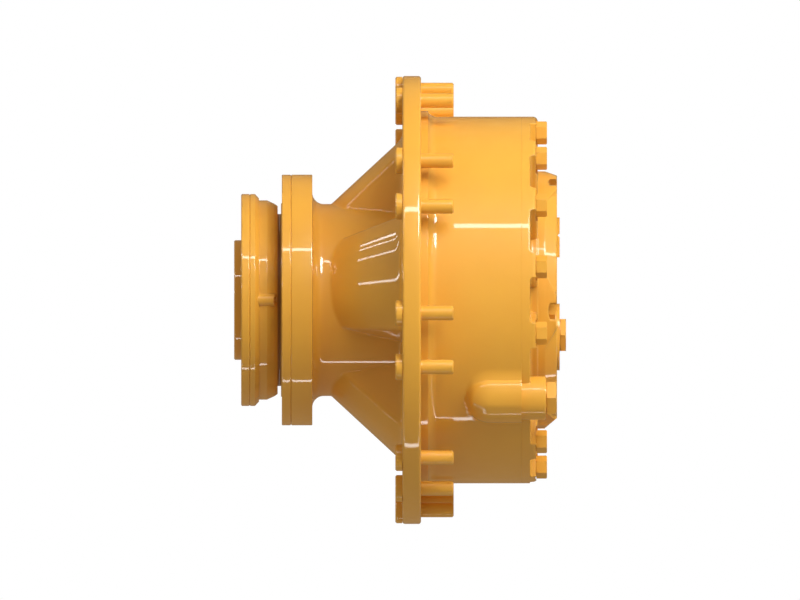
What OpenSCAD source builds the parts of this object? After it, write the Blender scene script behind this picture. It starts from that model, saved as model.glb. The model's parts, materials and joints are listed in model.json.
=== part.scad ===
// Final drive: wheel hub with a five-planet reduction on a fixed spindle.
// X is the turning axis, positive towards the wheel side. The origin is on that axis,
// in the wheel flange's outer face. Angles run from the -Y side upwards.

/* [Wheel flange] */
// Width of the wheel flange outside the drum
flange_w = 61; // [58:0.5:66]
// Thickness of the wheel flange
wheel_flange_t = 28; // [25:1:30]
// Rounding of the wheel flange's rim
rim_round = 4; // [2:0.5:6]
// Distance of the wheel studs' circle from the flange's rim
stud_inset = 20.5; // [20:0.5:24]
// Radius of the wheel stud's thread
stud_r = 11; // [9:0.5:12]
// Radius of the wheel stud's head
stud_head_r = 20; // [17:0.5:20]
// Thickness of the wheel stud's head
stud_head_t = 10.5; // [8:0.5:13]
// Length of the wheel stud beyond the flange
stud_reach = 49; // [40:1:60]
// Number of pairs of wheel studs
stud_pairs = 8; // [6:1:8]
// Angle between the two studs of a pair
stud_step = 15; // [12:0.5:18]
// Angle of the first wheel stud
stud_start = 26.45; // [20:0.05:30]

/* [Drum] */
// Wall of the drum
drum_wall = 37; // [36:0.5:40]
// Space between the ring gear and the drum's bore
drum_gap = 12; // [10:0.5:14]
// Distance from the wheel flange's face to the cover joint
drum_l = 151; // [149:0.5:155]
// Height of the step beside the wheel flange above the drum
step_h = 8.5; // [6:0.5:11]
// Length of the step beside the wheel flange
step_l = 10.5; // [8:0.5:14]

/* [Neck and lobes] */
// Distance from the wheel flange's back to the inner flange
neck_l = 135; // [134:0.5:138]
// Radius of the hub's neck
neck_r = 144; // [142:0.5:147]
// Radius of the fillet between neck and inner flange
neck_fillet = 14; // [8:1:16]
// Angle of the first lobe
lobe_angle = 11.45; // [0:0.05:45]
// Number of lobes
lobe_count = 4; // [3:1:5]
// Radius of the lobes at the wheel flange
lobe_r = 244; // [236:1:250]
// Slope of the lobes' outer surface
lobe_slope = 42.9; // [40:0.1:46]
// Half width of a lobe at the neck
lobe_neck_w = 65; // [55:1:70]
// Half width of a lobe at the wheel flange
lobe_flange_w = 88; // [75:1:95]

/* [Inner flange and seal] */
// Radius of the hub's inner flange
hub_flange_r = 188; // [185:0.5:192]
// Thickness of the hub's inner flange without the seal carrier
hub_flange_t = 32; // [28:1:36]
// Thickness of the seal carrier ring
seal_carrier_t = 13.8; // [12:0.2:16]
// Outer radius of the metal seal rings
seal_r = 129; // [127:0.5:130]
// Width of the gap at the seal
seal_gap = 5; // [4:0.5:6]

/* [Spindle] */
// Radius of the spindle's mounting flange
mount_flange_r = 159; // [156:0.5:162]
// Radius of the shoulder that holds the fixed seal
shoulder_r = 149.5; // [148:0.5:151]
// Length of the spindle's flange and shoulder together
shoulder_l = 42; // [40:0.5:45]
// Thickness of the end plate
end_plate_t = 12.8; // [11:0.2:15]
// Radius of the spigot
spigot_r = 89.75; // [80:0.25:95]
// Length of the spigot
spigot_l = 10.5; // [8:0.5:14]
// Radius of the spindle's bore
spindle_bore_r = 48; // [46:0.5:50]
// Pitch circle diameter of the axle bolts
axle_bolt_pcd = 250; // [240:1:254]
// Radius of the axle bolt holes in the spindle
axle_bolt_r = 10; // [8:0.5:10]
// Number of axle bolts
axle_bolts = 12; // [8:2:12]

/* [Bearings] */
// Bore radius of the inner bearing
inner_bore_r = 90; // [88:0.5:91]
// Outer radius of the inner bearing
inner_cup_r = 125; // [123:0.5:127]
// Width of the inner bearing
inner_w = 45; // [42:0.5:46]
// Bore radius of the outer bearing
outer_bore_r = 85; // [84:0.5:86]
// Outer radius of the outer bearing
outer_cup_r = 115; // [114:0.5:117]
// Width of the outer bearing
outer_w = 38; // [36:0.5:38]
// Angle of the rollers' axes
roller_tilt = 14; // [12:0.5:15]
// Number of rollers in each bearing
roller_count = 24; // [20:1:26]

/* [Gears] */
// Gear module
gear_m = 6; // [5.9:0.05:6]
// Number of sun gear teeth
sun_teeth = 25; // [25:5:25]
// Number of planet gear teeth
planet_teeth = 20; // [20:1:20]
// Wall of the ring gear behind its teeth
ring_wall = 23.5; // [21:0.5:26]
// Number of planets
planet_count = 5; // [5:1:5]
// Angle of the first planet
planet_angle = 30.8; // [20:0.1:40]
// Width of the gear faces
gear_w = 62; // [56:0.5:62]
// Radius of the planet pins
pin_r = 22; // [19:0.5:23]
// Wall of the planet bushes
bush_t = 5; // [4:0.5:6]

/* [Cover] */
// Thickness of the cover's flange in the windows
cover_flange_t = 12.5; // [11:0.5:14]
// Height of the bolt lugs above the windows
lug_h = 11.5; // [10.5:0.5:13]
// Width of a bolt lug
lug_w = 39; // [37:0.5:42]
// Number of places on the cover bolt circle
cover_places = 16; // [16:2:18]
// Distance of the cover bolts' circle from the drum's outside
cover_bolt_inset = 19.5; // [18:0.5:21]
// Radius of the cover bolts
cover_bolt_r = 10; // [8:0.5:10]
// Thickness of the cover bolts' heads
cover_bolt_head_t = 16; // [13:0.5:17]
// Radius of the spot faces under the cover bolts
spot_r = 24; // [22:0.5:25]
// Outer radius of the raised centre
centre_r = 193; // [191:0.5:195]
// Distance from the cover joint to its end face
cover_h = 53; // [50:0.5:56]
// Wall of the raised centre
cover_wall = 20; // [16:0.5:21]
// Radius of the pockets of the carrier bolts
pocket_r = 27; // [25:0.5:28]
// Distance of the carrier bolts' circle from the carrier plate's rim
carrier_bolt_inset = 16; // [15:0.5:18]
// Radius of the carrier bolts
carrier_bolt_r = 8; // [7:0.5:9]

/* [Plugs] */
// Radius of the drain boss on the drum
boss_r = 37.5; // [34:0.5:39]
// Radius of the drain boss on the cover
cover_boss_r = 33; // [30:0.5:36]
// Distance of the drain boss's axis from the drum's outside
boss_inset = 10.5; // [9:0.5:13]
// Size across flats of the plugs
plug_flats = 48; // [42:0.5:50]
// Radius of the plugs' threads
plug_r = 16; // [14:0.5:16]
// Distance of the fill plug below the axis
fill_at = 52.5; // [50:0.5:60]

/* [Hidden] */
$fn = 96;

// Clearances
fit_gap = 0.05;      // running and sliding fits, on the radius
seat_gap = 0.02;     // pressed and screwed seats, on the radius
bush_gap = 0.06;     // plain bushes on their pins and shaft, on the radius
face_gap = 0.25;     // end play between faces that turn on each other
edge = 1;            // small machined edge break
groove_edge = 1.2;   // edge break at the joint grooves
joint_edge = 0.3;    // edge break at the cover joint

// Stations along X, from the wheel flange's outer face
flange_back_x = -wheel_flange_t;
hub_flange_x = flange_back_x - neck_l;
hub_end_x = hub_flange_x - hub_flange_t;
carrier_x = hub_end_x - seal_carrier_t;
lip_t = 1.2;
seal_x = carrier_x - lip_t - seal_gap / 2;
shoulder_x = seal_x - seal_gap / 2;
plate_x = shoulder_x - shoulder_l;
mount_x = plate_x - end_plate_t;
spigot_x = mount_x - spigot_l;

drum_floor_x = 14;

// Radii from the ring gear outwards
addendum = gear_m;
dedendum = 1.25 * gear_m;
ring_teeth = sun_teeth + 2 * planet_teeth;
ring_pitch_r = gear_m * ring_teeth / 2;
ring_r = ring_pitch_r + dedendum + ring_wall;
drum_bore_r = ring_r + drum_gap;
drum_r = drum_bore_r + drum_wall;
step_r = drum_r + step_h;
wheel_flange_r = drum_r + flange_w;
cover_circle_r = drum_r - cover_bolt_inset;
boss_at = drum_r - boss_inset;

// Wheel flange
stud_circle_r = wheel_flange_r - stud_inset;
stud_seat_r = stud_r + 0.5;

// Floating seal, measured from the plane between the two seal rings
seal_face_t = 5;     // thickness of the sealing face's rim
seal_ring_l = 17;
seal_land = 16;      // width of the sealing face
seal_ring_top = 6.5; // depth of the rubber's ramp below the rim, at its start
seal_ring_end = 10.5;
seal_mouth = 3;      // the seat opens this much beyond the seal ring
seal_bore_r = seal_r - 1.5;
seal_seat_l = 18.5;
seal_rubber_x = 12.5;
seal_rubber_r = 4.64;
seal_screw_r = (hub_flange_r + seal_r) / 2 + 4;
seal_screws = 12;
screw_r = 5;
plate_screws = 6;
plate_screw_l = 32;
carrier_screw_l = 36;
axle_bolt_depth = 20;
rib_r = 9.6;         // half-round rib on the shoulder and the hole at its end
rib_hole_r = 4.6;

// Bearings
inner_bearing_x = hub_end_x + 65.5;
outer_bearing_x = -23;
inner_seat_x = inner_bearing_x - inner_w / 2;
outer_seat_x = outer_bearing_x + outer_w / 2;
inner_roller_r = 9;
outer_roller_r = 8;
inner_pitch_r = (inner_bore_r + inner_cup_r) / 2 - 0.5;
outer_pitch_r = (outer_bore_r + outer_cup_r) / 2 - 1;
cup_short = 5;       // the cup is this much narrower than the cone
rib_w = 5;           // width of the cone's ribs beside the rollers
core_r = inner_cup_r - 21;     // spindle between shoulder and inner bearing
cup_shoulder = 8;

// Rounded crest of the lobes
crest_small_r = 75;
crest_tilt = 24;
crest_over = 60;     // the crest's cone reaches this far beyond both ends

// Nut and spline on the spindle's end
thread_r = outer_bore_r - 3;
nut_t = 18;
nut_r = 98;
lock_t = 3;
key_w = 12;
key_depth = 5;
spline_r = thread_r - 4;
spline_depth = 4;
spline_teeth = 30;
ring_hub_x = 22;
ring_hub_t = 22;
snap_t = 3;
spindle_end_x = ring_hub_x + ring_hub_t + snap_t + 1.4;

// Gears
sun_pitch_r = gear_m * sun_teeth / 2;
planet_pitch_r = gear_m * planet_teeth / 2;
planet_at = sun_pitch_r + planet_pitch_r;
planet_step = 360 / planet_count;
flank_gap = 0.15;    // each flank stands back this much at the pitch circle
plate_gear_x = spindle_end_x + 3.6;
plate_t = 20;
washer_t = 2;
gear_x = plate_gear_x + plate_t + washer_t + 2 * face_gap;
boss_face_x = gear_x + gear_w + washer_t + 2 * face_gap;
ring_x = 17;
ring_end_x = boss_face_x - 1;
plate_r = ring_pitch_r - addendum - 5;
plate_bore_r = sun_pitch_r - 13;
bush_r = pin_r + bush_t;

// Axle shaft
shaft_r = 38;
shaft_seal_x = plate_x + 40;
shaft_seal_l = 12;
bush_l = 34;
shaft_end_x = mount_x + 8;
shaft_spline_r = 35;
shaft_spline_depth = 3.5;
shaft_spline_teeth = 20;
socket_r = 27;
socket_l = 62;
shaft_shoulder_x = gear_x - 0.5;
shaft_tip_x = gear_x + gear_w + 10;
thrust_t = 6;
thrust_r = 30;

// Cover
window_x = drum_l + cover_flange_t;
lug_x = window_x + lug_h;
spot_x = lug_x - 3;
face_x = drum_l + cover_h;
place_step = 360 / cover_places;
boss_angle = -1.5 * place_step;
centre_edge_x = face_x - 18;
centre_face_r = centre_r - 6;
spigot_in_l = 8;
spigot_in_t = 16;
spigot_in_r = drum_bore_r - seat_gap;
inside_x = face_x - cover_wall;
pillar_r = plate_r - 1;
pillar_root_r = planet_at - 15;
pillar_w = 29;
carrier_circle_r = plate_r - carrier_bolt_inset;
carrier_angle = planet_angle - planet_step / 2;
pocket_x = face_x - 16.5;
boss_root_r = 61;    // the raised centre's bosses, at their foot and at the end face
boss_top_r = 33;
lug_round = 7;       // of the rim at the lugs and at the top
lug_side_round = 5;  // along a lug's sides, at its foot and its top
centre_fillet = 4.5;
window_edge = 0.9;
pad_h = 4;
pad_r = 47;
flat_slope = 40;
boss_end_x = face_x - 16.5;
boss_l = 47;         // length of the drain boss on the drum
dowel_r = 6;
dowel_l = 21;
bolt_washer_t = 3;
cover_bolt_l = 34;   // length of the cover bolts in the drum
pin_end_x = inside_x - 6;
o_ring_r = 2.1;

// Hexagon sizes from the thread radius
function hex_flats(r) = 3 * r;
function hex_corner(flats) = flats / sqrt(3);

// Arc points in an X and radius profile
function arc(cx, cr, r, a0, a1, n = 8) =
  [for (i = [0:n]) let (a = a0 + (a1 - a0) * i / n) [cx + r * cos(a), cr + r * sin(a)]];

// Involute angle at a radius, for a base circle
function inv_angle(base, rho) = let (a = acos(min(1, base / rho))) tan(a) * 180 / PI - a;

// Half angle of a tooth at a radius
function tooth_half(z, pitch, rho, gap) =
  let (base = pitch * cos(20), at_rho = max(base, rho))
  90 / z + inv_angle(base, pitch) - inv_angle(base, at_rho) - gap / pitch * 180 / PI;

// Outline of a gear: the flanks are involutes through five radii
function gear_points(z, pitch, root, tip, gap, phase) =
  let (mid_root = max(root + 0.4, min(pitch * cos(20) + 0.6, pitch - 0.5)),
       radii = [root, mid_root, pitch, (pitch + tip) / 2, tip])
  [for (i = [0:z - 1])
    for (j = [0:9])
      let (up = j < 5, rho = up ? radii[j] : radii[9 - j],
           half = tooth_half(z, pitch, rho, gap),
           a = phase + 360 * i / z + (up ? -half : half))
      [rho * cos(a), rho * sin(a)]];

// Outline of a straight-sided spline
function spline_points(n, root, tip, gap) =
  let (w = 90 / n, slack = gap / tip * 180 / PI)
  [for (i = [0:n - 1])
    for (c = [[root, -w * 1.25 + slack], [tip - gap, -w * 0.75 + slack],
              [tip - gap, w * 0.75 - slack], [root, w * 1.25 - slack]])
      let (a = 360 * i / n + c[1]) [c[0] * cos(a), c[0] * sin(a)]];

// Planet angles are turned about +X from the +Y side in the gear outlines
function planet_turn(k) = 180 - (planet_angle + planet_step * k);
function planet_phase(k) = planet_turn(k) * (1 - ring_teeth / planet_teeth);
sun_phase = planet_turn(0) * (1 + ring_teeth / sun_teeth) + 180 * planet_teeth / sun_teeth
  - 180 / sun_teeth;

// Shapes along the X axis
module along_x(x0) {
  translate([x0, 0, 0]) rotate([0, 90, 0]) children();
}
module rod(x0, x1, r) {
  along_x(x0) cylinder(h = x1 - x0, r = r);
}
module taper(x0, x1, r0, r1) {
  along_x(x0) cylinder(h = x1 - x0, r1 = r0, r2 = r1);
}
module ring(x0, x1, r_in, r_out) {
  difference() {
    rod(x0, x1, r_out);
    rod(x0 - 1, x1 + 1, r_in);
  }
}
module turned(profile) {
  rotate([0, 90, 0]) rotate_extrude() polygon([for (p = profile) [p[1], p[0]]]);
}
module slab(x0, x1) {
  translate([x0, 0, 0]) rotate([90, 0, 90]) linear_extrude(x1 - x0) children();
}
// Hexagon with a corner upwards, its outer corners turned off
module hex_head(x0, t, flats) {
  corner = hex_corner(flats);
  difference() {
    along_x(x0) cylinder(h = t, r = corner, $fn = 6);
    turned([[x0 + t - 0.09 * corner, corner + 1], [x0 + t + 1, corner + 1],
            [x0 + t + 1, 0.8 * corner]]);
  }
}
// Puts a shape at an angle and radius about the X axis
module at(angle, radius) {
  rotate([-angle, 0, 0]) translate([0, -radius, 0]) children();
}
module around(count, start, radius) {
  for (i = [0:count - 1]) at(start + 360 * i / count, radius) children();
}
// As around, but the shape isn't turned, so hexagons keep a corner upwards
module around_upright(angles, radius) {
  for (a = angles) translate([0, -radius * cos(a), radius * sin(a)]) children();
}
cover_bolt_angles = [for (i = [0:cover_places - 1])
  let (a = place_step * (i + 0.5)) if (abs(a - 360 - boss_angle) > 1) a];
stud_angles = [for (i = [0:stud_pairs - 1]) for (s = [0, stud_step])
  stud_start + 360 / stud_pairs * i + s];

// Countersunk screw with its hexagon socket
module flat_screw(x0, l, r) {
  difference() {
    union() {
      taper(x0, x0 + r, 2 * r, r);
      rod(x0 + r - 0.1, x0 + l, r);
    }
    along_x(x0 - 1) cylinder(h = 1 + 0.8 * r, r = 0.7 * r, $fn = 6);
  }
}
module flat_screw_hole(x0, l, r) {
  taper(x0 - 0.1, x0 + r, 2 * r + 0.1 + seat_gap, r + seat_gap);
  rod(x0 + r - 0.1, x0 + l, r + seat_gap);
}

// Radii of the rubber's two ramps at a distance from the seal's middle plane
function ring_ramp(x) = seal_r - seal_ring_top
  - (seal_ring_end - seal_ring_top) * (x - seal_face_t) / (seal_ring_l - seal_face_t);
function seat_ramp(x) = seal_r + seal_mouth
  - (seal_mouth + seal_r - seal_bore_r) * (x - seal_gap / 2 - 4) / (seal_seat_l - 5.5);

// Seats of the floating seal: the bore widens towards the gap
module seal_seat(side) {
  mouth = seal_x + side * seal_gap / 2;
  turned([[mouth - side, 0], [mouth - side, seal_r + seal_mouth],
          [mouth + side * 4, seal_r + seal_mouth],
          [mouth + side * (seal_seat_l - 1.5), seal_bore_r],
          [mouth + side * seal_seat_l, seal_bore_r], [mouth + side * seal_seat_l, 0]]);
}
module seal_ring(side) {
  face = seal_x + side * fit_gap;
  rim = seal_x + side * seal_face_t;
  end = seal_x + side * seal_ring_l;
  turned([[face, seal_r - seal_land], [face, seal_r], [rim, seal_r],
          [rim, seal_r - seal_ring_top], [end, seal_r - seal_ring_end],
          [end, seal_r - seal_land - 1], [rim, seal_r - seal_land - 1]]);
}
module seal_rubber(side) {
  along_x(seal_x + side * seal_rubber_x) rotate_extrude()
    translate([(ring_ramp(seal_rubber_x) + seat_ramp(seal_rubber_x)) / 2, 0])
      circle(r = seal_rubber_r);
}

// Tapered roller bearing parts, with the large end of the rollers towards -X
function bearing_apex(pitch_r) = pitch_r / tan(roller_tilt);
function roller_cone(pitch_r, roller_r) = atan(roller_r * sin(roller_tilt) / pitch_r);
module bearing_cone(bore_r, w, pitch_r, roller_r) {
  apex = bearing_apex(pitch_r);
  slope = tan(roller_tilt - roller_cone(pitch_r, roller_r));
  big = -w / 2 + rib_w;
  small = w / 2 - rib_w;
  rib = (apex - big) * slope + 0.8 * roller_r;
  lip = (apex - small) * slope + 0.3 * roller_r;
  turned([[-w / 2, bore_r + seat_gap], [-w / 2, rib - 1], [-w / 2 + 1, rib], [big, rib],
          [big, (apex - big) * slope], [small, (apex - small) * slope], [small, lip],
          [w / 2, lip], [w / 2, bore_r + seat_gap]]);
}
module bearing_cup(cup_r, w, pitch_r, roller_r) {
  apex = bearing_apex(pitch_r);
  slope = tan(roller_tilt + roller_cone(pitch_r, roller_r));
  x0 = -w / 2 + 2;
  x1 = w / 2 - cup_short;
  turned([[x0, (apex - x0) * slope], [x0, cup_r - seat_gap], [x1, cup_r - seat_gap],
          [x1, (apex - x1) * slope]]);
}
module rollers(w, pitch_r, roller_r, gap, extra) {
  cone_angle = roller_cone(pitch_r, roller_r);
  mid = pitch_r / sin(roller_tilt);
  half = (w / 2 - rib_w - roller_r * sin(roller_tilt) - 0.4) / cos(roller_tilt) + extra;
  s0 = mid - half;
  s1 = mid + half;
  for (i = [0:roller_count - 1]) rotate([-360 * i / roller_count, 0, 0])
    translate([bearing_apex(pitch_r), 0, 0]) rotate([0, 0, roller_tilt]) rotate([0, -90, 0])
      translate([0, 0, s0])
        cylinder(h = s1 - s0, r1 = s0 * tan(cone_angle) + gap, r2 = s1 * tan(cone_angle) + gap,
                 $fn = 24);
}
module bearing_cage(w, pitch_r, roller_r) {
  apex = bearing_apex(pitch_r);
  slope = tan(roller_tilt);
  x0 = -w / 2 + 1.5;
  x1 = w / 2 - 2;
  difference() {
    turned([[x0, (apex - x0) * slope + 1], [x0, (apex - x0) * slope + 3.6],
            [x1, (apex - x1) * slope + 3.6], [x1, (apex - x1) * slope + 1]]);
    rollers(w, pitch_r, roller_r, 0.25, 0.4);
  }
}
module inner_place() {
  translate([inner_bearing_x, 0, 0]) children();
}
module outer_place() {
  translate([outer_bearing_x, 0, 0]) mirror([1, 0, 0]) children();
}

// Fixed side

module spindle() {
  color("gold") difference() {
    union() {
      turned(concat(
        [[plate_x, spindle_bore_r], [plate_x, mount_flange_r - groove_edge],
         [plate_x + groove_edge, mount_flange_r], [plate_x + 8, mount_flange_r],
         [plate_x + 14, shoulder_r + 3], [plate_x + 14, shoulder_r],
         [shoulder_x - 16, shoulder_r], [shoulder_x - 5, shoulder_r - 5],
         [shoulder_x, shoulder_r - 8.5], [shoulder_x, core_r], [inner_seat_x, core_r]],
        [[inner_seat_x, inner_bore_r], [inner_bearing_x + inner_w / 2, inner_bore_r],
         [inner_bearing_x + inner_w / 2 + 4, outer_bore_r + 1.5],
         [outer_bearing_x - outer_w / 2, outer_bore_r + 1.5],
         [outer_bearing_x - outer_w / 2, outer_bore_r], [outer_seat_x, outer_bore_r],
         [outer_seat_x, thread_r - 2], [outer_seat_x + 1, thread_r - 2],
         [outer_seat_x + 2, thread_r], [ring_hub_x - 4, thread_r],
         [ring_hub_x - 4, spline_r - spline_depth], [spindle_end_x, spline_r - spline_depth],
         [spindle_end_x, spindle_bore_r]]));
      slab(ring_hub_x - 4, spindle_end_x)
        polygon(spline_points(spline_teeth, spline_r - spline_depth, spline_r, 0));
      // half-round rib, cut to the shoulder's bevel at its end
      intersection() {
        at(0, shoulder_r - 4) rod(plate_x + 12, shoulder_x, rib_r);
        turned([[plate_x, 0], [plate_x, shoulder_r + 10], [shoulder_x - 8, shoulder_r + 10],
                [shoulder_x, shoulder_r - 10], [shoulder_x, 0]]);
      }
    }
    rod(plate_x - 1, spindle_end_x + 1, spindle_bore_r);
    seal_pocket();
    // weep hole, from the seal pocket out at the rib's end
    at(0, shoulder_r - 1.5) rod(shoulder_x - 13, shoulder_x + 1, rib_hole_r);
    translate([shoulder_x - 10, -seal_bore_r, 0]) rotate([90, 0, 0])
      cylinder(h = shoulder_r - seal_bore_r, r = 2.5);
    around(axle_bolts, 180 / axle_bolts, axle_bolt_pcd / 2)
      rod(plate_x - 1, plate_x + axle_bolt_depth, axle_bolt_r);
    around(plate_screws, 0, axle_bolt_pcd / 2) flat_screw_hole(mount_x, plate_screw_l, screw_r);
    // keyway of the lock plate
    translate([ring_hub_x - 12, -key_w / 2 - fit_gap, thread_r - key_depth])
      cube([12, key_w + 2 * fit_gap, 20]);
    // groove of the snap ring
    ring(ring_hub_x + ring_hub_t + 0.1, ring_hub_x + ring_hub_t + snap_t + 0.2,
         spline_r - spline_depth - 1.5, spline_r + 5);
  }
}
module seal_pocket() {
  difference() {
    seal_seat(-1);
    rod(shoulder_x - 40, shoulder_x + 2, core_r);
  }
}
module end_plate() {
  color("gold") difference() {
    turned([[spigot_x, spindle_bore_r + 2], [spigot_x, spigot_r - 1.5], [spigot_x + 1.5, spigot_r],
            [mount_x, spigot_r], [mount_x, mount_flange_r - 1.5], [mount_x + 1.5, mount_flange_r],
            [plate_x - groove_edge, mount_flange_r], [plate_x, mount_flange_r - groove_edge],
            [plate_x, spindle_bore_r + 2]]);
    around(axle_bolts, 180 / axle_bolts, axle_bolt_pcd / 2)
      rod(mount_x - 1, plate_x + 1, axle_bolt_r + 1);
    around(plate_screws, 0, axle_bolt_pcd / 2) flat_screw_hole(mount_x, plate_screw_l, screw_r);
  }
}
module end_plate_screws() {
  color("dimgray") around(plate_screws, 0, axle_bolt_pcd / 2)
    flat_screw(mount_x, plate_screw_l - 2, screw_r);
}
module fixed_seal_ring() {
  color("silver") seal_ring(-1);
}
module fixed_seal_rubber() {
  color("black") seal_rubber(-1);
}
module inner_bearing_cone() {
  color("silver") inner_place() bearing_cone(inner_bore_r, inner_w, inner_pitch_r, inner_roller_r);
}
module outer_bearing_cone() {
  color("silver") outer_place() bearing_cone(outer_bore_r, outer_w, outer_pitch_r, outer_roller_r);
}
module bearing_nut() {
  x1 = outer_seat_x + nut_t;
  color("dimgray") difference() {
    turned([[outer_seat_x, thread_r + seat_gap], [outer_seat_x, nut_r - 2],
            [outer_seat_x + 2, nut_r], [x1 - 2, nut_r], [x1, nut_r - 2],
            [x1, thread_r + seat_gap]]);
    around(6, 30, nut_r) translate([outer_seat_x + 8, -6, -5]) cube([12, 12, 10]);
    around(3, 60, (thread_r + nut_r) / 2) rod(x1 - 12, x1 + 1, 3);
  }
}
module nut_lock_plate() {
  x0 = outer_seat_x + nut_t;
  color("silver") {
    difference() {
      union() {
        ring(x0, x0 + lock_t, thread_r + 1, nut_r - 3);
        translate([x0, -key_w / 2, thread_r - key_depth + fit_gap])
          cube([lock_t, key_w, key_depth + 3]);
      }
      around(3, 60, (thread_r + nut_r) / 2) rod(x0 - 1, x0 + lock_t + 1, 3 + seat_gap);
    }
  }
}
module nut_lock_screws() {
  x0 = outer_seat_x + nut_t + lock_t;
  color("dimgray") around(3, 60, (thread_r + nut_r) / 2) {
    rod(x0 - 12, x0 + 0.1, 3 - seat_gap);
    hex_head(x0, 2.4, 10);
  }
}
module ring_gear() {
  color("lightgray") difference() {
    turned([[ring_x, ring_pitch_r - 10], [ring_x, ring_r - 3], [ring_x + 3, ring_r],
            [ring_end_x - 3, ring_r], [ring_end_x, ring_r - 3], [ring_end_x, ring_pitch_r - 10]]);
    slab(ring_x - 1, ring_end_x + 1)
      polygon(gear_points(ring_teeth, ring_pitch_r, ring_pitch_r - addendum,
                          ring_pitch_r + dedendum, -flank_gap, 0));
    for (x = [ring_hub_x - snap_t - 0.2, ring_hub_x + ring_hub_t])
      rod(x, x + snap_t + 0.2, ring_pitch_r + dedendum + 3);
  }
}
module ring_gear_hub() {
  color("lightgray") difference() {
    slab(ring_hub_x, ring_hub_x + ring_hub_t)
      polygon(gear_points(ring_teeth, ring_pitch_r, ring_pitch_r - addendum - 1.5,
                          ring_pitch_r + dedendum - 1, 2 * flank_gap, 0));
    slab(ring_hub_x - 1, ring_hub_x + ring_hub_t + 1)
      polygon(spline_points(spline_teeth, spline_r - spline_depth + fit_gap, spline_r + 0.5, -0.15));
    around(10, 18, (spline_r + ring_pitch_r) / 2) rod(ring_hub_x - 1, ring_hub_x + ring_hub_t + 1, 15);
    // turned relief on both faces
    for (x = [ring_hub_x - 1, ring_hub_x + ring_hub_t - 4])
      ring(x, x + 5, spline_r + 18, ring_pitch_r - 22);
  }
}
module split_ring(x0, r_in, r_out, gap_w) {
  difference() {
    ring(x0, x0 + snap_t, r_in, r_out);
    translate([x0 - 1, -gap_w / 2, -r_out - 1]) cube([snap_t + 2, gap_w, r_out - r_in + 12]);
  }
}
module ring_gear_snap_rings() {
  color("dimgray") for (x = [ring_hub_x - snap_t - 0.1, ring_hub_x + ring_hub_t + 0.1])
    split_ring(x, ring_pitch_r - 4, ring_pitch_r + dedendum + 2.6, 24);
}
module spindle_snap_ring() {
  color("dimgray") split_ring(ring_hub_x + ring_hub_t + 0.15, spline_r - spline_depth - 1.4,
                              spline_r + 4, 16);
}
module shaft_seal() {
  color("black") ring(shaft_seal_x, shaft_seal_x + shaft_seal_l, shaft_r + fit_gap,
                      spindle_bore_r - seat_gap);
}
module shaft_bushes() {
  color("peru") for (x = [shaft_seal_x + shaft_seal_l + 4, ring_hub_x - 14])
    ring(x, x + bush_l, shaft_r + bush_gap, spindle_bore_r - seat_gap);
}

// Turning side

// Lobe between neck and wheel flange: a cone about the hub's axis, cut to a wedge,
// with its crest rounded off by a second cone that lies along the slope
module lobe() {
  rise_l = (lobe_r - neck_r + 2) / tan(lobe_slope);
  x0 = flange_back_x - rise_l;
  crest_l = rise_l / cos(lobe_slope) + 2 * crest_over + 40;
  intersection() {
    taper(x0, flange_back_x + 2, neck_r - 2, lobe_r + 2 * tan(lobe_slope));
    rotate([90, 0, 0]) linear_extrude(lobe_r + 10)
      polygon([[x0, -lobe_neck_w], [flange_back_x + 2, -lobe_flange_w],
               [flange_back_x + 2, lobe_flange_w], [x0, lobe_neck_w]]);
    translate([x0, -neck_r, 0]) rotate([0, 0, -lobe_slope])
      translate([-crest_over, crest_small_r * cos(crest_tilt) - 1, 0])
        rotate([0, 0, crest_tilt])
          taper(0, crest_l, crest_small_r, crest_small_r + crest_l * tan(crest_tilt));
  }
}
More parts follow.
